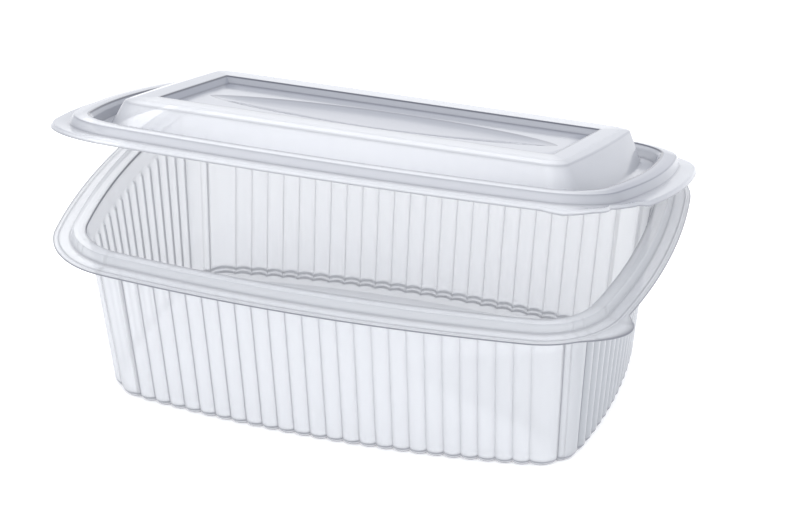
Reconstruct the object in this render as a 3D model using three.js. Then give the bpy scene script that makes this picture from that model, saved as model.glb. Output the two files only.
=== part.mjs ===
// Takeaway meal container of clear thermoformed sheet: a fluted tub and its hinged lid, held partly open.
// Millimetres, X along the long side, -Y the front, +Z up. The origin is on the surface it stands on, under
// the middle of the outline.
import * as THREE from 'three';

// Plans seen from above: a rectangle with bowed sides and round corners
const MOUTH = { halfLength: 106.7, halfWidth: 73, sideRadius: 666, endRadius: 311, cornerRadius: 22 };
const BASE = { halfLength: 100.4, halfWidth: 63.6, sideRadius: 470, endRadius: 261, cornerRadius: 19.9 };
const SHOULDER = { halfLength: 90, halfWidth: 59.6, sideRadius: 2400, endRadius: 1000, cornerRadius: 9 };
const RECESS = { halfLength: 79.3, halfWidth: 38.6, sideRadius: 9000, endRadius: 9000, cornerRadius: 0.6 };

// Tub
const SHEET = 0.8;
const MOUTH_Z = 72.5;
const FLANGE_DROP = 2.95;
const BEAD_FOOT = 6.5;
const FLANGE_INNER = 11.3;
const FLANGE_STEP = 0.45;
const FLANGE_OUTER = 13.3;
const BAND_HEIGHT = 7.2;
const BAND_TAPER = 1.3;
const SIDE_FLUTES = 24;
const END_FLUTES = 13;
const FLUTE_DEPTH = 1.3;
const FOOT_FLUTE_DEPTH = 2;
const FLUTE_ROUNDNESS = 0.6;
const FLUTE_END = 1.6;
const FOOT_CHAMFER = 1.1;
const FOOT_CHAMFER_HEIGHT = 1.5;
const FOOT_WIDTH = 8.1;
const PANEL_RISE = 1.6;
// The bead round the mouth, as distances outside it and heights over it
const TUB_BEAD = [[0, 0], [1.3, 0.75], [3.3, 1], [5.4, 0.8]];
// The finger tabs at the front right corner: how far they reach, the shares of the corner between which they
// lie, and how far the tip leans towards the last of these
const TUB_TAB = { reach: 6.3, first: 0.42, last: 1, lean: 1.5 };
const LID_TAB = { reach: 7, first: 0.06, last: 0.62, lean: 1 };
const TAB_ROUNDNESS = 0.7;

// Hinge at the back of the rim
const HINGE_Y = 89.5;
const HINGE_Z = 70.35;
const HINGE_HALF = 82;
const HINGE_GAP = 0.3;
const HINGE_PLATE = 0.75;
const HINGE_LEG = 0.6;
const HINGE_LEG_OUT = 0.1;
const HINGE_LEG_RISE = 0.35;
const TUB_BACK_EDGE = HINGE_Y - 2.2;
const LID_BACK_EDGE = HINGE_Y - 1.3;
const OPEN_ANGLE = 18;

// Lid, as heights over the middle of its flange when it is shut
const LID_FLANGE_OUTER = 14;
const SKIRT_OUT = 1;
const SKIRT_DROP = 1.7;
const VALLEY_HEIGHT = -0.8;
const VALLEY_INNER = -8;
const VALLEY_OUTER = -2.2;
// The bead that closes over the tub's, as distances outside the mouth and heights over the flange
const LID_BEAD = [[-1.3, 3], [0.4, 4.5], [3.3, 4.45], [6.3, 4], [7.9, 0.4]];
const SHOULDER_HEIGHT = 11.5;
const CROWN_HEIGHT = 12.4;
const CROWN_SETBACK = 7;
const RECESS_DEPTH = 2.8;
const RECESS_SLOPE = 2.5;
const LENS_HALF_LENGTH = 72;
const LENS_HALF_WIDTH = 22;
const LENS_DEPTH = 1.4;
const LENS_FLOOR = 0.55;
const LENS_POINT = 0.35;

// Segments of a loop round the plan
const ROUND = { side: 14, corner: 12, end: 8 };
const FLUTE_STEPS = 4;
const FLUTED = { side: SIDE_FLUTES * FLUTE_STEPS, corner: 6, end: END_FLUTES * FLUTE_STEPS };
const ZONES = ['side', 'corner', 'end', 'corner', 'side', 'corner', 'end', 'corner'];
const FRONT_RIGHT_CORNER = 1;
const RIGHT_END = 2;
const BACK_RIGHT_CORNER = 3;
const BACK_SIDE = 4;
const BACK_LEFT_CORNER = 5;

// The lid's skirt leaves out the hinge and the tub's tab: shares of each zone where it is whole and where it ends
const SKIRT_FADES = {
  [FRONT_RIGHT_CORNER]: [0.2, 0.4],
  [RIGHT_END]: [0.12, 0],
  [BACK_RIGHT_CORNER]: [0.6, 0.9],
  [BACK_SIDE]: [-1, 0],
  [BACK_LEFT_CORNER]: [0.4, 0.1],
};

const CLEAR = new THREE.MeshStandardMaterial({ color: 0xe6e9f0, roughness: 0.12, metalness: 0 });
const LID_CLEAR = new THREE.MeshStandardMaterial({ color: 0xdadde8, roughness: 0.12, metalness: 0 });

// The plan moved outwards by a distance, with the middles of its arcs
function grown(plan, distance) {
  const a = plan.halfLength + distance;
  const b = plan.halfWidth + distance;
  const sideRadius = plan.sideRadius + distance;
  const endRadius = plan.endRadius + distance;
  const r = Math.max(plan.cornerRadius + distance, 0.3);
  const side = new THREE.Vector2(0, b - sideRadius);
  const end = new THREE.Vector2(a - endRadius, 0);
  const span = end.distanceTo(side);
  const fromSide = sideRadius - r;
  const fromEnd = endRadius - r;
  const along = (fromSide ** 2 - fromEnd ** 2 + span ** 2) / (2 * span);
  const across = Math.sqrt(fromSide ** 2 - along ** 2);
  const unit = end.clone().sub(side).divideScalar(span);
  const corner = side.clone().addScaledVector(unit, along);
  corner.addScaledVector(new THREE.Vector2(unit.y, -unit.x), across);
  const sideTurn = Math.atan2(corner.x - side.x, corner.y - side.y);
  const endTurn = Math.atan2(corner.y - end.y, corner.x - end.x);
  return { side, end, sideRadius, endRadius, r, corner, sideTurn, endTurn };
}

function between(low, high, share) {
  const mixed = {};
  for (const key of Object.keys(low)) mixed[key] = THREE.MathUtils.lerp(low[key], high[key], share);
  return mixed;
}

// A point of the outline and its outward normal, at a share t of one of the eight zones
function outlinePoint(shape, zone, t) {
  const flip = zone >= 4 ? -1 : 1;
  const local = zone % 4;
  let middle = new THREE.Vector2(shape.side.x, -shape.side.y);
  let radius = shape.sideRadius;
  let angle = -Math.PI / 2 + (2 * t - 1) * shape.sideTurn;
  if (local === 1 || local === 3) {
    const first = local === 1 ? shape.sideTurn - Math.PI / 2 : shape.endTurn;
    const last = local === 1 ? -shape.endTurn : Math.PI / 2 - shape.sideTurn;
    middle = new THREE.Vector2(shape.corner.x, local === 1 ? -shape.corner.y : shape.corner.y);
    radius = shape.r;
    angle = THREE.MathUtils.lerp(first, last, t);
  } else if (local === 2) {
    middle = shape.end.clone();
    radius = shape.endRadius;
    angle = (2 * t - 1) * shape.endTurn;
  }
  const normal = new THREE.Vector2(Math.cos(angle), Math.sin(angle));
  const point = middle.addScaledVector(normal, radius);
  return { point: point.multiplyScalar(flip), normal: normal.multiplyScalar(flip) };
}

// One closed loop at a height. push moves a point along its normal, place may move it once more.
function loop(plan, distance, z, counts = ROUND, push = () => 0, place = (spot) => spot) {
  const shape = grown(plan, distance);
  const points = [];
  ZONES.forEach((kind, zone) => {
    const steps = counts[kind];
    for (let i = 0; i < steps; i += 1) {
      const t = i / steps;
      const { point, normal } = outlinePoint(shape, zone, t);
      point.addScaledVector(normal, push(zone, t, i));
      const spot = place(new THREE.Vector3(point.x, point.y, z), zone, t);
      points.push({ spot, station: zone + t });
    }
  });
  return points;
}

// Flutes swell outwards between sharp creases, and the corners stay smooth
function fluting(depth) {
  return (zone, t, i) => {
    if (zone % 2 === 1) return i === 0 ? -depth : 0;
    const crest = Math.sin((Math.PI * (i % FLUTE_STEPS)) / FLUTE_STEPS) ** FLUTE_ROUNDNESS;
    return depth * (crest - 1);
  };
}

function stationOf(points, i) {
  return i < points.length ? points[i].station : points[0].station + ZONES.length;
}

// A closed body through loops that run from the middle of its top out to its edge and back below
function loft(rings, material, name) {
  const positions = [];
  const index = [];
  const starts = rings.map((points) => {
    const start = positions.length / 3;
    points.forEach(({ spot }) => positions.push(spot.x, spot.y, spot.z));
    return start;
  });
  for (let k = 0; k + 1 < rings.length; k += 1) {
    const [from, to] = [rings[k], rings[k + 1]];
    let i = 0;
    let j = 0;
    while (i < from.length || j < to.length) {
      const a = starts[k] + (i % from.length);
      const b = starts[k + 1] + (j % to.length);
      const nextFrom = i < from.length ? stationOf(from, i + 1) : Infinity;
      const nextTo = j < to.length ? stationOf(to, j + 1) : Infinity;
      if (nextFrom <= nextTo) {
        i += 1;
        index.push(a, b, starts[k] + (i % from.length));
      } else {
        j += 1;
        index.push(a, b, starts[k + 1] + (j % to.length));
      }
    }
  }
  const final = rings.length - 1;
  capLoop(rings[0], starts[0], positions, index, false);
  capLoop(rings[final], starts[final], positions, index, true);
  const geometry = new THREE.BufferGeometry();
  geometry.setAttribute('position', new THREE.Float32BufferAttribute(positions, 3));
  geometry.setIndex(index);
  geometry.computeVertexNormals();
  const mesh = new THREE.Mesh(geometry, material);
  mesh.name = name;
  return mesh;
}

function capLoop(points, start, positions, index, below) {
  const middle = new THREE.Vector3();
  points.forEach(({ spot }) => middle.addScaledVector(spot, 1 / points.length));
  const hub = positions.length / 3;
  positions.push(middle.x, middle.y, middle.z);
  points.forEach((_, i) => {
    const here = start + i;
    const next = start + ((i + 1) % points.length);
    index.push(hub, below ? next : here, below ? here : next);
  });
}

// A finger tab swells out of the flange
function tabSwell({ reach, first, last, lean }) {
  return (zone, t) => {
    const share = (t - first) / (last - first);
    if (zone !== FRONT_RIGHT_CORNER || share <= 0 || share >= 1) return 0;
    return reach * Math.sin(Math.PI * share ** lean) ** TAB_ROUNDNESS;
  };
}

// The rim's edge runs straight along the hinge at the back
function straightBack(edgeY) {
  return (spot, zone, t) => {
    const onHinge = zone === BACK_SIDE || (zone === BACK_LEFT_CORNER && t === 0);
    return onHinge ? new THREE.Vector3(spot.x, edgeY, spot.z) : spot;
  };
}

function rimRows(profile, level) {
  return profile.map(([distance, height]) => ({ plan: MOUTH, distance, z: level + height }));
}

// The sheet's face away from the given one: each row moves square to the profile that the rows follow
function otherFace(rows) {
  const at = rows.map(({ plan, distance, z }) => new THREE.Vector2(plan.halfLength + distance, z));
  const square = (k) => {
    const along = at[k + 1].clone().sub(at[k]).normalize();
    return new THREE.Vector2(along.y, -along.x);
  };
  return rows.map((row, k) => {
    const before = square(Math.max(k - 1, 0));
    const after = square(Math.min(k, rows.length - 2));
    const shift = before.clone().add(after).multiplyScalar(SHEET / (1 + before.dot(after)));
    return { ...row, distance: row.distance + shift.x, z: row.z + shift.y };
  }).reverse();
}

function loops(rows) {
  return rows.map((row) => loop(row.plan, row.distance, row.z, row.counts, row.push, row.place));
}

function tub() {
  const bandZ = MOUTH_Z - BAND_HEIGHT;
  const bandPlan = between(BASE, MOUTH, bandZ / MOUTH_Z);
  const bandOut = MOUTH.halfLength - BAND_TAPER - bandPlan.halfLength;
  const flangeZ = MOUTH_Z - FLANGE_DROP;
  const lipZ = flangeZ - FLANGE_STEP;
  const panelEdge = FOOT_CHAMFER + FOOT_WIDTH;
  const fluted = { counts: FLUTED, push: fluting(FLUTE_DEPTH) };
  const footFluted = { counts: FLUTED, push: fluting(FOOT_FLUTE_DEPTH) };
  const edge = { push: tabSwell(TUB_TAB), place: straightBack(TUB_BACK_EDGE) };
  const inside = [
    { plan: BASE, distance: -panelEdge - PANEL_RISE, z: SHEET + PANEL_RISE },
    { plan: BASE, distance: -panelEdge, z: SHEET },
    { plan: BASE, distance: -FOOT_CHAMFER - SHEET, z: SHEET, ...footFluted },
    { plan: BASE, distance: -SHEET, z: FOOT_CHAMFER_HEIGHT + SHEET, ...footFluted },
    { plan: bandPlan, distance: bandOut, z: bandZ - FLUTE_END, ...fluted },
    { plan: bandPlan, distance: bandOut, z: bandZ },
    ...rimRows(TUB_BEAD, MOUTH_Z),
    { plan: MOUTH, distance: BEAD_FOOT, z: flangeZ },
    { plan: MOUTH, distance: FLANGE_INNER, z: flangeZ },
    { plan: MOUTH, distance: FLANGE_INNER + FLANGE_STEP, z: lipZ },
    { plan: MOUTH, distance: FLANGE_OUTER, z: lipZ, ...edge },
  ];
  return loft([...loops(inside), ...loops(otherFace(inside))], CLEAR, 'tub');
}

// The lens-shaped dish in the lid's panel, with the stations of the plan's loops
function lensLoop(scale, z) {
  return loop(RECESS, 0, z).map(({ spot, station }) => {
    const turn = Math.atan2(spot.y / RECESS.halfWidth, spot.x / RECESS.halfLength);
    const x = LENS_HALF_LENGTH * scale * Math.cos(turn);
    const y = LENS_HALF_WIDTH * scale * Math.sin(turn) * Math.abs(Math.sin(turn)) ** LENS_POINT;
    return { spot: new THREE.Vector3(x, y, z), station };
  });
}

// How much of the lid's skirt hangs
function skirtShare(zone, t) {
  const [whole, none] = SKIRT_FADES[zone] ?? [t, t + 1];
  return THREE.MathUtils.clamp((none - t) / (none - whole), 0, 1);
}

function lid() {
  const push = tabSwell(LID_TAB);
  const straight = straightBack(LID_BACK_EDGE);
  const skirt = (spot, zone, t) => {
    const placed = straight(spot, zone, t);
    placed.z += SKIRT_DROP * (1 - skirtShare(zone, t));
    return placed;
  };
  const half = SHEET / 2;
  const floorZ = CROWN_HEIGHT - RECESS_DEPTH;
  const crownShare = 1 - CROWN_SETBACK / (SHOULDER.halfWidth - RECESS.halfWidth);
  const crown = between(RECESS, SHOULDER, crownShare);
  const edge = { push, place: straightBack(LID_BACK_EDGE - SKIRT_OUT) };
  const skirtDistance = LID_FLANGE_OUTER + SKIRT_OUT;
  const top = [
    { plan: RECESS, distance: -RECESS_SLOPE, z: floorZ },
    { plan: RECESS, distance: 0, z: CROWN_HEIGHT },
    { plan: crown, distance: 0, z: CROWN_HEIGHT },
    { plan: SHOULDER, distance: 0, z: SHOULDER_HEIGHT },
    { plan: MOUTH, distance: VALLEY_INNER, z: VALLEY_HEIGHT },
    { plan: MOUTH, distance: VALLEY_OUTER, z: VALLEY_HEIGHT },
    ...rimRows(LID_BEAD, 0),
    { plan: MOUTH, distance: LID_FLANGE_OUTER, z: half, ...edge },
    { plan: MOUTH, distance: skirtDistance, z: half - SKIRT_DROP, push, place: skirt },
  ];
  const dish = [[LENS_FLOOR, floorZ - LENS_DEPTH], [1, floorZ]];
  const dishTop = dish.map(([scale, z]) => lensLoop(scale, z));
  const dishUnder = dish.map(([scale, z]) => lensLoop(scale, z - SHEET)).reverse();
  return loft([...dishTop, ...loops(top), ...loops(otherFace(top)), ...dishUnder], LID_CLEAR, 'lid');
}

// The hinge: a narrow web from the tub's edge that turns up along the fold
function hingeStrip() {
  const plateBottom = MOUTH_Z - FLANGE_DROP - FLANGE_STEP - SHEET;
  const inner = TUB_BACK_EDGE + HINGE_GAP;
  const legInner = HINGE_Y + HINGE_LEG_OUT;
  const outer = legInner + HINGE_LEG;
  const top = HINGE_Z + HINGE_LEG_RISE;
  const section = new THREE.Shape();
  section.moveTo(inner, plateBottom);
  section.lineTo(outer, plateBottom);
  section.lineTo(outer, top);
  section.lineTo(legInner, top);
  section.lineTo(legInner, plateBottom + HINGE_PLATE);
  section.lineTo(inner, plateBottom + HINGE_PLATE);
  section.closePath();
  const geometry = new THREE.ExtrudeGeometry(section, { depth: 2 * HINGE_HALF, bevelEnabled: false });
  geometry.applyMatrix4(new THREE.Matrix4().makeBasis(
    new THREE.Vector3(0, 1, 0),
    new THREE.Vector3(0, 0, 1),
    new THREE.Vector3(1, 0, 0),
  ));
  geometry.translate(-HINGE_HALF, 0, 0);
  const mesh = new THREE.Mesh(geometry, CLEAR);
  mesh.name = 'hinge_strip';
  return mesh;
}

// Heights in the lid are over its flange, so the lid is turned about the hinge line and then placed
const lidMesh = lid();
lidMesh.position.set(0, -HINGE_Y, 0);
const opening = new THREE.Group();
opening.rotation.x = -THREE.MathUtils.degToRad(OPEN_ANGLE);
opening.position.set(0, HINGE_Y, HINGE_Z);
opening.add(lidMesh);

const FRONT_Y = -MOUTH.halfWidth - FLANGE_OUTER;
const BACK_Y = HINGE_Y + HINGE_LEG_OUT + HINGE_LEG;
const container = new THREE.Group();
container.add(tub(), hingeStrip(), opening);
container.position.y = -(FRONT_Y + BACK_Y) / 2;

const group = new THREE.Group();
group.add(container);
export default group;
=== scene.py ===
"""A takeaway meal container of clear sheet: a fluted tub with its hinged lid held partly open, on a pale floor."""
import math

import bpy
import numpy as np
from mathutils import Matrix, Vector


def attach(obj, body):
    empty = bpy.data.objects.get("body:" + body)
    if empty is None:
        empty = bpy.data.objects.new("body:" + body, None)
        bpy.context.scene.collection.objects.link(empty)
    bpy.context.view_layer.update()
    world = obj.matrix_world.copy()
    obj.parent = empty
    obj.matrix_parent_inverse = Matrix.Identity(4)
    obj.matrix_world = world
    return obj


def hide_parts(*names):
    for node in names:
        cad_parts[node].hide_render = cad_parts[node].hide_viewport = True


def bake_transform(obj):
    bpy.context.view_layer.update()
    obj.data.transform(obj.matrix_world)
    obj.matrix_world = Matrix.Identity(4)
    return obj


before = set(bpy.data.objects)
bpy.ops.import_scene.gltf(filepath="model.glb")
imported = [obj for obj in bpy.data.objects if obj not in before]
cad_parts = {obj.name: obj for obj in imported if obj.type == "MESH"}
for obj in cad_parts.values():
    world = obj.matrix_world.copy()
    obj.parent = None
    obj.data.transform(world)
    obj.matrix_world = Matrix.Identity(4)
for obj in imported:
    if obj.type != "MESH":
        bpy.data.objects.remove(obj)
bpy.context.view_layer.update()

MM = 0.001

# Plans seen from above, in millimetres: half length, half width, radii of the sides, ends and corners
MOUTH = np.array([106.7, 73, 666, 311, 22])
BASE = np.array([100.4, 63.6, 470, 261, 19.9])
SHOULDER = np.array([90, 59.6, 2400, 1000, 9])
RECESS = np.array([79.3, 38.6, 9000, 9000, 0.6])
SMALLEST_CORNER = 0.3
# How far beside a corner its painted dark line fades out
PAINTED_LINE_FADE = 0.75

# The clear sheet
SHEET = 0.45

# Tub, in millimetres
MOUTH_Z = 72.5
FLANGE_DROP = 2.95
BEAD_FOOT = 6.5
FLANGE_INNER = 11.3
FLANGE_STEP = 0.45
FLANGE_OUTER = 13.3
BAND_HEIGHT = 7.2
BAND_TAPER = 1.3
SIDE_FLUTES = 24
END_FLUTES = 13
CORNER_FLUTES = 2
CORNER_STEPS = 40
ROUNDING = 1e-6
FLUTE_DEPTH = 1.3
FOOT_FLUTE_DEPTH = 2
FLUTE_END = 1.6
FOOT_CHAMFER = 1.1
FOOT_CHAMFER_HEIGHT = 1.5
FOOT_WIDTH = 8.1
PANEL_RISE = 1.6

# Finger tabs at the front right corner, as in the plan's stations
TUB_TAB = {"reach": 6.3, "first": 1.42, "last": 2.03, "lean": 1.9}
LID_TAB = {"reach": 7.0, "first": 1.06, "last": 1.62, "lean": 1.0}
TAB_ROUNDNESS = 0.7

# Hinge
HINGE_Y = 89.5
HINGE_Z = 70.35
HINGE_HALF = 82
TUB_BACK_EDGE = HINGE_Y - 2.2
LID_BACK_EDGE = HINGE_Y - 1.3
OPEN_ANGLE = math.radians(18)
BACK_Y = 90.2
CENTRE_Y = (BACK_Y - MOUTH[1] - FLANGE_OUTER) / 2

# Lid, as heights over the middle of its flange when it is shut
LID_FLANGE_OUTER = 14
SKIRT_OUT = 1
SKIRT_DROP = 1.7
VALLEY_HEIGHT = -0.8
VALLEY_INNER = -8
VALLEY_OUTER = -2.2
SHOULDER_HEIGHT = 11.5
CROWN_HEIGHT = 12.4
CROWN_SETBACK = 7
RECESS_DEPTH = 2.8
RECESS_SLOPE = 2.5
LENS_HALF_LENGTH = 72
LENS_HALF_WIDTH = 22
LENS_DEPTH = 1.4
LENS_POINT = 0.35

# Zones round a plan, counter-clockwise from the front side
BACK_SIDE, BACK_LEFT_CORNER = 4, 5
ZONES = 8

# Places within a flute from crease to crease, close together beside the creases
FLUTE_SHARES = np.array([0, 0.05, 0.1, 0.2, 0.34, 0.5, 0.66, 0.8, 0.9, 0.95])
FLUTE_ROUNDNESS = 0.62
# How dark the painted line along each crease is at stations round the tub: strong at the ends, hardly at the right
# of the front
PAINTED_CREASE_KEYS = [0, 0.3, 0.62, 1, 1.2, 1.5, 2, 3, 3.4, 4, 5, 5.7, 6, 7, 8]
PAINTED_CREASE_SHADES = [0.85, 0.7, 0.25, 0.08, 0.08, 0.75, 2.4, 2.4, 0.3, 0.25, 0.25, 0.5, 0.7, 0.9, 0.95]
# How much greyer the sheet is painted, as painted shade and reflection, at stations round the tub and the lid
TUB_PAINTED_SHADE_KEYS = [0, 1.3, 2, 3, 3.6, 8]
TUB_PAINTED_SHADES = [0, 0, 0.8, 0.8, 0, 0]
RIM_PAINTED_SHADE_SHARE = 0.35
LID_PAINTED_SHADE_KEYS = [0, 1.2, 2, 3, 4, 5, 6, 7, 7.6, 8]
LID_PAINTED_SHADES = [0, 0.1, 0.6, 0.6, 0.1, 0.3, 0.75, 0.75, 0.35, 0]
BEAD_PAINTED_SHADES = [0, 0.2, 0.95, 0.95, 0.3, 0.4, 0.9, 0.8, 0.1, 0]


def grown(plan, distance):
    """The plan moved outwards: its side's and end's centres, radii, corner and the angles where they meet."""
    half_length, half_width, side_radius, end_radius, radius = plan + distance
    radius = max(radius, SMALLEST_CORNER)
    side = np.array([0, half_width - side_radius])
    end = np.array([half_length - end_radius, 0])
    span = np.linalg.norm(end - side)
    unit = (end - side) / span
    along = ((side_radius - radius) ** 2 - (end_radius - radius) ** 2 + span**2) / (2 * span)
    across = math.sqrt((side_radius - radius) ** 2 - along**2)
    corner = side + unit * along + np.array([unit[1], -unit[0]]) * across
    side_turn = math.atan2(*(corner - side))
    end_turn = math.atan2(corner[1] - end[1], corner[0] - end[0])
    return side, end, side_radius, end_radius, radius, corner, side_turn, end_turn


def outline(plan, distance, stations):
    """Points and outward normals of the plan's outline at stations, given as zone + share of the zone."""
    side, end, side_radius, end_radius, radius, corner, side_turn, end_turn = grown(plan, distance)
    zone = np.floor(stations).astype(int)
    t = stations - zone
    local = zone % 4
    flip = np.where(zone >= 4, -1.0, 1.0)
    quarter = math.pi / 2
    angle = np.select(
        [local == 0, local == 1, local == 2, local == 3],
        [
            -quarter + (2 * t - 1) * side_turn,
            side_turn - quarter + t * (quarter - side_turn - end_turn),
            (2 * t - 1) * end_turn,
            end_turn + t * (quarter - side_turn - end_turn),
        ],
    )
    middle_x = np.select([local == 0, local == 2], [0.0, end[0]], corner[0])
    middle_y = np.select([local == 0, local == 1, local == 2], [-side[1], -corner[1], 0.0], corner[1])
    size = np.select([local == 0, local == 2], [side_radius, end_radius], radius)
    normal = np.stack([np.cos(angle), np.sin(angle)], 1)
    point = np.stack([middle_x, middle_y], 1) + normal * size[:, None]
    return point * flip[:, None], normal * flip[:, None]


def stations_of(side, corner, end):
    """Stations round the plan from the shares wanted in each kind of zone."""
    kinds = [side, corner, end, corner]
    return np.concatenate([zone + np.asarray(kinds[zone % 4]) for zone in range(ZONES)])


def rounded(rows, steps=4):
    """The profile with each corner turned into a short curve.

    A row starts with its place across and up, and ends with its corner's radius, the painted shade of the stretch
    after it and the strength of the painted dark line along its corner. The rounded rows end with a painted shade
    and a painted dark line.
    """
    rows = np.asarray(rows, float)
    radius, painted_shade, line = rows[:, -3], rows[:, -2], rows[:, -1]
    rows = rows[:, :-3]
    out = [(*rows[0], painted_shade[0], line[0])]
    for k in range(1, len(rows) - 1):
        here = rows[k]
        towards, onwards = rows[k - 1] - here, rows[k + 1] - here
        lengths = np.linalg.norm(towards[:2]), np.linalg.norm(onwards[:2])
        cosine = np.dot(towards[:2], onwards[:2]) / (lengths[0] * lengths[1])
        half_turn = (math.pi - math.acos(np.clip(cosine, -1, 1))) / 2
        cut = min(radius[k] * math.tan(half_turn), 0.4 * lengths[0], 0.4 * lengths[1])
        first = here + towards * cut / lengths[0]
        last = here + onwards * cut / lengths[1]
        fades = [min(cut + PAINTED_LINE_FADE, 0.48 * length) / length for length in lengths]
        if line[k]:
            out.append((*(here + towards * fades[0]), painted_shade[k - 1], 0))
        for s in np.linspace(0, 1, steps + 1):
            point = (1 - s) ** 2 * first + 2 * s * (1 - s) * here + s**2 * last
            out.append((*point, painted_shade[k - 1] if s < 0.5 else painted_shade[k], line[k]))
        if line[k]:
            out.append((*(here + onwards * fades[1]), painted_shade[k], 0))
    out.append((*rows[-1], painted_shade[-2], line[-1]))
    return np.array(out)


def other_face(rows, thickness):
    """The rows of the sheet's other face, moved square to the profile."""
    along = np.diff(rows[:, :2], axis=0)
    along /= np.linalg.norm(along, axis=1)[:, None]
    square = np.stack([along[:, 1], -along[:, 0]], 1)
    before = np.vstack([square[:1], square])
    after = np.vstack([square, square[-1:]])
    mitre = (before + after) / (1 + (before * after).sum(1))[:, None]
    moved = rows.copy()
    moved[:, :2] += mitre * thickness
    return moved[::-1]


def new_piece(name, vertices, faces, material, paint=()):
    """A smooth mesh object in metres. paint gives each vertex a value under a name."""
    mesh = bpy.data.meshes.new(name)
    mesh.from_pydata(vertices.tolist(), [], faces)
    mesh.update()
    mesh.shade_smooth()
    for label, values in paint:
        mesh.attributes.new(label, "FLOAT", "POINT").data.foreach_set("value", values.astype(np.float32))
    mesh.materials.append(material)
    piece = bpy.data.objects.new(name, mesh)
    bpy.context.scene.collection.objects.link(piece)
    return piece


def shell(name, grid, painted_shades, painted_lines, material):
    """One closed sheet from rows of points that run over its top face and back along its lower one."""
    rows, count = grid.shape[:2]
    hubs = np.array([grid[0].mean(0), grid[-1].mean(0)])
    vertices = np.vstack([grid.reshape(-1, 3), hubs]) * MM
    index = np.arange(rows * count).reshape(rows, count)
    ahead = np.roll(index, -1, 1)
    faces = np.stack([index[:-1], index[1:], ahead[1:], ahead[:-1]], -1).reshape(-1, 4).tolist()
    top_hub, under_hub = rows * count, rows * count + 1
    faces += [(top_hub, a, b) for a, b in zip(index[0], ahead[0])]
    faces += [(under_hub, b, a) for a, b in zip(index[-1], ahead[-1])]
    hub_painted_shades = [painted_shades[0, 0], painted_shades[-1, 0]]
    # Painted shade and the painted dark line go with each vertex for the material
    paint = [
        ("painted_shade", np.concatenate([painted_shades.ravel(), hub_painted_shades])),
        ("line", np.concatenate([painted_lines.ravel(), [0, 0]])),
    ]
    return new_piece(name, vertices, faces, material, paint)


def tab_push(stations, tab):
    """How far a finger tab stands out at each station. Its tip leans towards the last one."""
    share = np.clip((stations - tab["first"]) / (tab["last"] - tab["first"]), 0, 1)
    return tab["reach"] * np.abs(np.sin(math.pi * share ** tab["lean"])) ** TAB_ROUNDNESS


def on_hinge(stations):
    return (stations >= BACK_SIDE) & (stations <= BACK_LEFT_CORNER)


def painted_shades_of(rows, painted_greying):
    """Each row's painted shade round the plan, made greyer by the painted shade and reflection at each station over
    it.
    """
    painted_shade = rows[:, -2:-1]
    return painted_shade + (1 - painted_shade) * painted_greying


# Tub

def flute_stations(flutes):
    return np.concatenate([(k + FLUTE_SHARES) / flutes for k in range(flutes)])


def flute_phase(stations):
    """Where each station lies within its flute, from 0 at one crease to 1 at the next."""
    zone = np.floor(stations).astype(int)
    flutes = np.array([SIDE_FLUTES, CORNER_FLUTES, END_FLUTES, CORNER_FLUTES])[zone % 4]
    phase = (stations - zone) * flutes
    return np.maximum(phase - np.floor(phase + ROUNDING), 0)


def tub_grid(rows, stations):
    """Points of the tub's rows: each row is reach, height, plan share, flute depth, tab share, straight back."""
    phase = flute_phase(stations)
    crest = np.sin(math.pi * phase) ** FLUTE_ROUNDNESS
    tab = tab_push(stations, TUB_TAB)
    grid = []
    for reach, z, share, depth, tab_share, straight in rows[:, :6]:
        plan = BASE + (MOUTH - BASE) * share
        point, normal = outline(plan, reach - plan[0], stations)
        point = point + normal * (depth * (crest - 1) + tab_share * tab)[:, None]
        y = point[:, 1]
        edge = TUB_BACK_EDGE + (reach - MOUTH[0] - FLANGE_OUTER)
        y = np.where(on_hinge(stations), y + straight * np.maximum(edge - y, 0), y)
        grid.append(np.stack([point[:, 0], y - CENTRE_Y, np.full(len(y), z)], 1))
    return np.array(grid)


# Painted shade: a dark line painted along each flute crease, added to the rows' own painted corner line
def tub_painted_lines(rows, stations):
    phase = flute_phase(stations)
    near = np.minimum(phase, 1 - phase)
    crease = np.clip(1 - near / FLUTE_SHARES[1], 0, 1) * np.interp(stations, PAINTED_CREASE_KEYS, PAINTED_CREASE_SHADES)
    fluted = np.clip(rows[:, 3:4] / FLUTE_DEPTH, 0, 1)
    return np.maximum(rows[:, -1:], fluted * crease[None])


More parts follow.
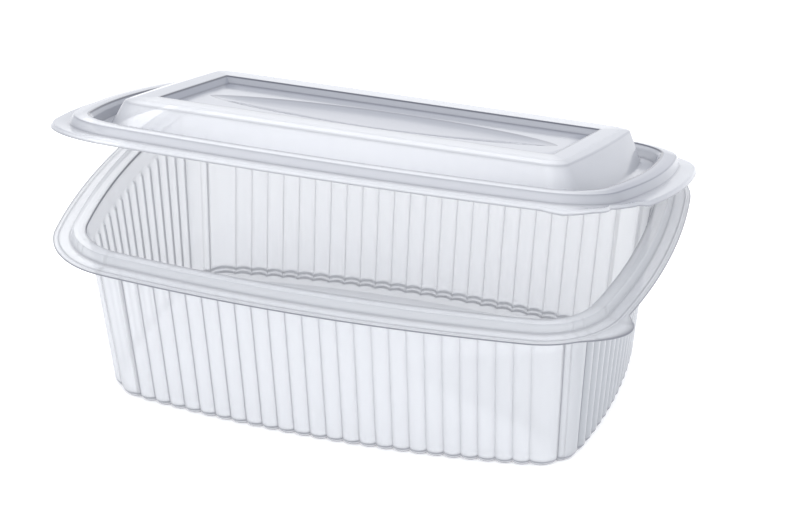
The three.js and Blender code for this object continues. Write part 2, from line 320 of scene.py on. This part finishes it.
def tub(material):
    band_z = MOUTH_Z - BAND_HEIGHT
    band_share = band_z / MOUTH_Z
    band_reach = MOUTH[0] - BAND_TAPER
    flange_z = MOUTH_Z - FLANGE_DROP
    lip_z = flange_z - FLANGE_STEP
    panel_edge = FOOT_CHAMFER + FOOT_WIDTH
    base, mouth = BASE[0], MOUTH[0]
    # The last three numbers of each row are its corner's radius, the painted shade of the stretch after it and how
    # dark the painted line along its corner is
    rows = [
        (base - 3 * panel_edge, SHEET + PANEL_RISE, 0, 0, 0, 0, 0, 0, 0),
        (base - panel_edge - PANEL_RISE, SHEET + PANEL_RISE, 0, 0, 0, 0, 1.2, 0.05, 0.15),
        (base - panel_edge, SHEET, 0, 0, 0, 0, 1.2, 0, 0.3),
        (base - FOOT_CHAMFER - SHEET - 3, SHEET, 0, 0, 0, 0, 0.5, 0, 0),
        (base - FOOT_CHAMFER - SHEET, SHEET, 0, FOOT_FLUTE_DEPTH, 0, 0, 0.4, 0.15, 1),
        (base - SHEET, FOOT_CHAMFER_HEIGHT + SHEET, 0, FOOT_FLUTE_DEPTH, 0, 0, 0.8, 0.12, 0.7),
        (band_reach, band_z - FLUTE_END, band_share, FLUTE_DEPTH, 0, 0, 0.8, 0.1, 0.1),
        (band_reach, band_z, band_share, 0, 0, 0, 0.6, 0.15, 0.2),
        (mouth, MOUTH_Z, 1, 0, 0, 0, 0.5, 0.05, 0.8),
        (mouth + 1.3, MOUTH_Z + 0.75, 1, 0, 0, 0, 1.5, 0, 0),
        (mouth + 3.3, MOUTH_Z + 1, 1, 0, 0, 0, 3, 0.05, 0),
        (mouth + 5.4, MOUTH_Z + 0.8, 1, 0, 0, 0, 0.6, 0.5, 0.15),
        (mouth + BEAD_FOOT, flange_z, 1, 0, 0, 0, 0.5, 0.1, 0.4),
        (mouth + FLANGE_INNER, flange_z, 1, 0, 0, 0, 0.3, 0.3, 0.5),
        (mouth + FLANGE_INNER + FLANGE_STEP, lip_z, 1, 0, 0, 0, 0.3, 0.1, 0.2),
        (mouth + FLANGE_OUTER, lip_z, 1, 0, 1, 1, 0, 0.1, 0.85),
    ]
    top = rounded(rows)
    both = np.vstack([top, other_face(top, SHEET)])
    # No painted dark line on the outer face near the floor
    both[: len(top)][top[:, 1] < FOOT_CHAMFER_HEIGHT + SHEET + PAINTED_LINE_FADE, -1] = 0
    corner = np.union1d(np.linspace(0, 1, CORNER_STEPS, endpoint=False), flute_stations(CORNER_FLUTES))
    stations = stations_of(flute_stations(SIDE_FLUTES), corner, flute_stations(END_FLUTES))
    grid = tub_grid(both, stations)
    # Painted shade and reflection at the tub's right end, only partly on the rim
    share = np.where(both[:, 1:2] < band_z, 1, RIM_PAINTED_SHADE_SHARE)
    painted_shades = painted_shades_of(both, share * np.interp(stations, TUB_PAINTED_SHADE_KEYS, TUB_PAINTED_SHADES))
    piece = shell("tub_shell", grid, painted_shades, tub_painted_lines(both, stations), material)
    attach(piece, "tub")
    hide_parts("tub")


# Lid

# The lid's skirt leaves out the hinge and the tub's tab: stations and how much of it hangs there
SKIRT_KEYS = [0, 1.2, 1.4, 2.0, 2.12, 3.6, 3.9, 5.1, 5.4, 8]
SKIRT_SHARES = [1, 1, 0, 0, 1, 1, 0, 0, 1, 1]


def lens_outline(stations, scale):
    """The lens-shaped dish's outline, at the same stations as the recess round it."""
    point, _ = outline(RECESS, 0, stations)
    turn = np.arctan2(point[:, 1] / RECESS[1], point[:, 0] / RECESS[0])
    x = LENS_HALF_LENGTH * scale * np.cos(turn)
    y = LENS_HALF_WIDTH * scale * np.sin(turn) * np.abs(np.sin(turn)) ** LENS_POINT
    return np.stack([x, y], 1)


def lid_place(points):
    """From the shut lid's own heights to where the open lid is."""
    y = points[..., 1] - HINGE_Y
    z = points[..., 2]
    cosine, sine = math.cos(OPEN_ANGLE), math.sin(OPEN_ANGLE)
    placed = np.empty_like(points)
    placed[..., 0] = points[..., 0]
    placed[..., 1] = HINGE_Y + y * cosine + z * sine - CENTRE_Y
    placed[..., 2] = HINGE_Z - y * sine + z * cosine
    return placed


def lid_rim(rows, stations):
    """Points of the lid's rows outside the dish: reach, height, mouth share, shoulder share, edge share."""
    tab = tab_push(stations, LID_TAB)
    raised = 1 - np.interp(stations, SKIRT_KEYS, SKIRT_SHARES)
    grid = []
    for reach, z, mouth_share, shoulder_share, edge_share in rows[:, :5]:
        plan = RECESS + (SHOULDER - RECESS) * shoulder_share + (MOUTH - SHOULDER) * mouth_share
        point, normal = outline(plan, reach - plan[0], stations)
        point = point + normal * (edge_share * tab)[:, None]
        y = point[:, 1]
        y = np.where(on_hinge(stations) & (edge_share > 0.5), LID_BACK_EDGE, y)
        height = z + SKIRT_DROP * raised * max(edge_share * 2 - 1, 0)
        grid.append(np.stack([point[:, 0], y, height], 1))
    return np.array(grid)


def lid_dish(stations, floor_z):
    """The dish and the recess floor round it, from the middle outwards, with the darker painted shade they carry and
    a painted dark line round the dish.
    """
    grid, painted_shades, painted_lines = [], [], []
    lens = lens_outline(stations, 1)
    inner, _ = outline(RECESS, -RECESS_SLOPE - 1, stations)
    for s in np.linspace(0.04, 1, 10):
        depth = LENS_DEPTH * (1 - s**4)
        grid.append(np.column_stack([lens_outline(stations, s), np.full(len(stations), floor_z - depth)]))
        painted_shades.append(0.88)
        painted_lines.append(0.5 if s == 1 else 0)
    for s in (0.02, 0.35, 0.7):
        grid.append(np.column_stack([lens + (inner - lens) * s, np.full(len(stations), floor_z)]))
        painted_shades.append(0.76)
        painted_lines.append(0)
    return np.array(grid), np.array(painted_shades), np.array(painted_lines)


def lid(material):
    half = SHEET / 2
    floor_z = CROWN_HEIGHT - RECESS_DEPTH
    mouth = MOUTH[0]
    crown_share = 1 - CROWN_SETBACK / (SHOULDER[1] - RECESS[1])
    crown = RECESS[0] + (SHOULDER[0] - RECESS[0]) * crown_share
    # The last three numbers of each row are its corner's radius, the painted shade of the stretch after it and how
    # dark the painted line along its corner is
    rows = [
        (RECESS[0] - RECESS_SLOPE - 1, floor_z, 0, 0, 0, 0, 0.9, 0),
        (RECESS[0] - RECESS_SLOPE, floor_z, 0, 0, 0, 0.4, 0.7, 0.5),
        (RECESS[0], CROWN_HEIGHT, 0, 0, 0, 0.5, 0.4, 1),
        (crown, CROWN_HEIGHT, 0, crown_share, 0, 4, 0.15, 0),
        (SHOULDER[0], SHOULDER_HEIGHT, 0, 1, 0, 1.2, 0.12, 0.3),
        (mouth + VALLEY_INNER, VALLEY_HEIGHT, 1, 1, 0, 1.5, 0.1, 0.1),
        (mouth + VALLEY_OUTER, VALLEY_HEIGHT, 1, 1, 0, 0.6, 0.4, 0.25),
        (mouth - 1.3, 3, 1, 1, 0, 1.5, 0.4, 0),
        (mouth + 0.4, 4.5, 1, 1, 0, 0.7, 0.1, 1),
        (mouth + 3.3, 4.45, 1, 1, 0, 3, 0.1, 0),
        (mouth + 6.3, 4, 1, 1, 0, 0.5, 0.4, 0.3),
        (mouth + 7.9, half, 1, 1, 0, 0.5, 0.15, 0.35),
        (mouth + LID_FLANGE_OUTER, half, 1, 1, 0.9, 0.5, 0.15, 0.2),
        (mouth + LID_FLANGE_OUTER + SKIRT_OUT, half - SKIRT_DROP, 1, 1, 1, 0, 0.2, 0.45),
    ]
    top = rounded(rows)
    both = [top, other_face(top, SHEET)]
    stations = stations_of(*(np.linspace(0, 1, count, endpoint=False) for count in (48, 40, 32)))
    rims = [lid_rim(face, stations) for face in both]
    dish, dish_painted_shades, dish_painted_lines = lid_dish(stations, floor_z)
    under_dish = dish[::-1] - np.array([0, 0, SHEET])
    grid = lid_place(np.concatenate([dish, *rims, under_dish]))
    level = np.ones((1, len(stations)))
    middle_painted_shades = dish_painted_shades[:, None] * level
    middle_painted_lines = dish_painted_lines[:, None] * level
    # Painted shade and reflection at the lid's ends, stronger on the bead
    painted_greying = np.interp(stations, LID_PAINTED_SHADE_KEYS, LID_PAINTED_SHADES)
    bead_painted_greying = np.interp(stations, LID_PAINTED_SHADE_KEYS, BEAD_PAINTED_SHADES)
    rim_painted_shades = []
    for face in both:
        on_bead = (face[:, :1] > mouth) & (face[:, :1] < mouth + 6.4)
        rim_painted_shades.append(painted_shades_of(face, np.where(on_bead, bead_painted_greying, painted_greying)))
    painted_shades = np.concatenate([middle_painted_shades, *rim_painted_shades, middle_painted_shades[::-1]])
    painted_lines = np.concatenate([middle_painted_lines, *(face[:, -1:] * level for face in both), middle_painted_lines[::-1]])
    piece = shell("lid_shell", grid, painted_shades, painted_lines, material)
    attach(piece, "lid")
    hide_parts("lid")


# Hinge

# The web's section from the tub's edge round the fold to the lid's, as y and z
WEB = [(85.2, 68.7), (86.6, 68.75), (87.5, 69.2), (87.85, 69.9), (87.6, 70.5), (86.9, 70.72), (86.3, 70.75)]
WEB_RADIUS = 0.6
WEB_SHEET = 0.36
WEB_STEPS = 60


def hinge(material):
    """The creased web between the tub's back edge and the lid's, folded round the hinge line."""
    front = rounded([(*place, WEB_RADIUS, 0, 0) for place in WEB], 3)
    section = np.vstack([front, other_face(front, WEB_SHEET)])[:, :2]
    count = len(section)
    xs = np.linspace(-HINGE_HALF, HINGE_HALF, WEB_STEPS)
    vertices = np.array([(x, y, z) for x in xs for y, z in section]) * MM
    faces = []
    for k in range(len(xs) - 1):
        near, far = k * count, (k + 1) * count
        for i in range(count):
            j = (i + 1) % count
            faces.append((near + i, far + i, far + j, near + j))
    faces.append(tuple(range(count)))
    faces.append(tuple(reversed(range(len(vertices) - count, len(vertices)))))
    piece = new_piece("hinge_web", vertices, faces, material)
    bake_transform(piece)
    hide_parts("hinge_strip")


# Materials

def feed(tree, socket, value):
    if isinstance(value, bpy.types.NodeSocket):
        tree.links.new(value, socket)
    else:
        socket.default_value = value


def maths(tree, operation, *terms):
    made = tree.nodes.new("ShaderNodeMath")
    made.operation = operation
    for socket, term in zip(made.inputs, terms):
        feed(tree, socket, term)
    return made.outputs[0]


def mixed(tree, factor, first, second):
    made = tree.nodes.new("ShaderNodeMix")
    made.data_type = "RGBA"
    colours = [socket for socket in made.inputs if socket.type == "RGBA"]
    feed(tree, made.inputs[0], factor)
    feed(tree, colours[0], first)
    feed(tree, colours[1], second)
    return next(socket for socket in made.outputs if socket.type == "RGBA")


def attribute(tree, name):
    made = tree.nodes.new("ShaderNodeAttribute")
    made.attribute_name = name
    return made.outputs["Fac"]


def clear_sheet(name, pale, painted_shade_colour, film, turn, gloss, painted_glow):
    """Thin hazy plastic. Its colour is made greyer by painted shade and reflection, dark along its creases and edges
    by a painted dark line, and dark where it turns away from the view by painted shade; the same darkening also
    makes it more opaque. A faint painted light of its own lifts it all over.
    """
    material = bpy.data.materials.new(name)
    material.use_nodes = True
    tree = material.node_tree
    shader = tree.nodes["Principled BSDF"]
    painted_shade = attribute(tree, "painted_shade")
    facing = tree.nodes.new("ShaderNodeLayerWeight")
    facing.inputs["Blend"].default_value = 0.5
    # Painted shade: the colour darkens where the sheet turns away from the view; the same value also raises its
    # opacity
    painted_grazing_shade = maths(tree, "POWER", facing.outputs["Facing"], turn)
    line = maths(tree, "MINIMUM", maths(tree, "MULTIPLY", attribute(tree, "line"), 1.25), 1.0)
    shade = maths(tree, "MAXIMUM", line, maths(tree, "MULTIPLY", painted_grazing_shade, 0.7))
    # Painted shade and reflection: the pale colour turns darker by the painted shade value
    body = mixed(tree, painted_shade, (*pale, 1), (*painted_shade_colour, 1))
    # The near-black colour is painted shade along creases, edges and where the sheet turns away
    feed(tree, shader.inputs["Base Color"], mixed(tree, shade, body, (0.07, 0.075, 0.1, 1)))
    # The painted shade value also makes the sheet more opaque
    haze = maths(tree, "MULTIPLY_ADD", painted_shade, 0.5, film)
    alpha = maths(tree, "MULTIPLY_ADD", shade, 0.6, haze)
    feed(tree, shader.inputs["Alpha"], maths(tree, "MINIMUM", alpha, 1.0))
    place = tree.nodes.new("ShaderNodeTexCoord")
    ripple = tree.nodes.new("ShaderNodeTexNoise")
    ripple.inputs["Scale"].default_value = 35
    ripple.inputs["Detail"].default_value = 2
    feed(tree, ripple.inputs["Vector"], place.outputs["Object"])
    bump = tree.nodes.new("ShaderNodeBump")
    bump.inputs["Strength"].default_value = 0.2
    bump.inputs["Distance"].default_value = 0.0006
    feed(tree, bump.inputs["Height"], ripple.outputs["Fac"])
    feed(tree, shader.inputs["Normal"], bump.outputs[0])
    shader.inputs["Roughness"].default_value = 0.12
    shader.inputs["Specular IOR Level"].default_value = gloss
    # Painted light: the sheet gives off a faint light of its own, standing in for light scattered in the plastic
    shader.inputs["Emission Color"].default_value = (0.93, 0.95, 1, 1)
    shader.inputs["Emission Strength"].default_value = painted_glow
    return material


# Floor, light and camera

def stage():
    bpy.ops.mesh.primitive_plane_add(size=12, location=(0, 0, 0))
    floor = bpy.context.object
    floor.name = "floor"
    material = bpy.data.materials.new("pale_floor")
    material.use_nodes = True
    shader = material.node_tree.nodes["Principled BSDF"]
    shader.inputs["Base Color"].default_value = (0.96, 0.96, 0.965, 1)
    shader.inputs["Roughness"].default_value = 0.9
    shader.inputs["Specular IOR Level"].default_value = 0.1
    shader.inputs["Emission Color"].default_value = (1, 1, 1, 1)
    shader.inputs["Emission Strength"].default_value = 0.25
    floor.data.materials.append(material)


def area_light(name, place, aim, size, power):
    lamp = bpy.data.lights.new(name, "AREA")
    lamp.energy = power
    lamp.shape = "RECTANGLE"
    lamp.size, lamp.size_y = size
    made = bpy.data.objects.new(name, lamp)
    made.location = place
    made.rotation_mode = "QUATERNION"
    made.rotation_quaternion = (Vector(place) - Vector(aim)).to_track_quat("Z", "Y")
    bpy.context.scene.collection.objects.link(made)


def lights():
    world = bpy.data.worlds.new("studio")
    world.use_nodes = True
    background = world.node_tree.nodes["Background"]
    background.inputs["Color"].default_value = (0.97, 0.98, 1, 1)
    background.inputs["Strength"].default_value = 1.35
    bpy.context.scene.world = world
    area_light("overhead", (0, 0.3, 1.6), (0, 0, 0), (1.6, 1.2), 4)


CAMERA_PLACE = Vector((0.3753, -1.14075, 0.6997))
CAMERA_AIM = Vector((0.00993, -0.00436, 0.0484))
CAMERA_ROLL = math.radians(0.22)
CAMERA_LENS = 154.3


def camera():
    data = bpy.data.cameras.new("camera")
    data.lens = CAMERA_LENS
    data.sensor_width = 36
    data.clip_start, data.clip_end = 0.05, 50
    made = bpy.data.objects.new("camera", data)
    made.location = CAMERA_PLACE
    made.rotation_mode = "QUATERNION"
    turn = (CAMERA_PLACE - CAMERA_AIM).to_track_quat("Z", "Y").to_matrix().to_4x4()
    made.rotation_quaternion = (turn @ Matrix.Rotation(CAMERA_ROLL, 4, "Z")).to_quaternion()
    bpy.context.scene.collection.objects.link(made)
    bpy.context.scene.camera = made


scene = bpy.context.scene
scene.view_settings.view_transform = "Standard"
scene.cycles.transparent_max_bounces = 48
# Each sheet's second colour is its painted shade colour, and its last number its painted light
tub_sheet = clear_sheet("clear_tub_sheet", (0.69, 0.7, 0.725), (0.2, 0.215, 0.24), 0.42, 2.6, 0.3, 0.19)
lid_sheet = clear_sheet("clear_lid_sheet", (0.86, 0.87, 0.9), (0.18, 0.192, 0.235), 0.5, 9.0, 0.05, 0.06)
stage()
lights()
camera()
tub(tub_sheet)
lid(lid_sheet)
hinge(tub_sheet)
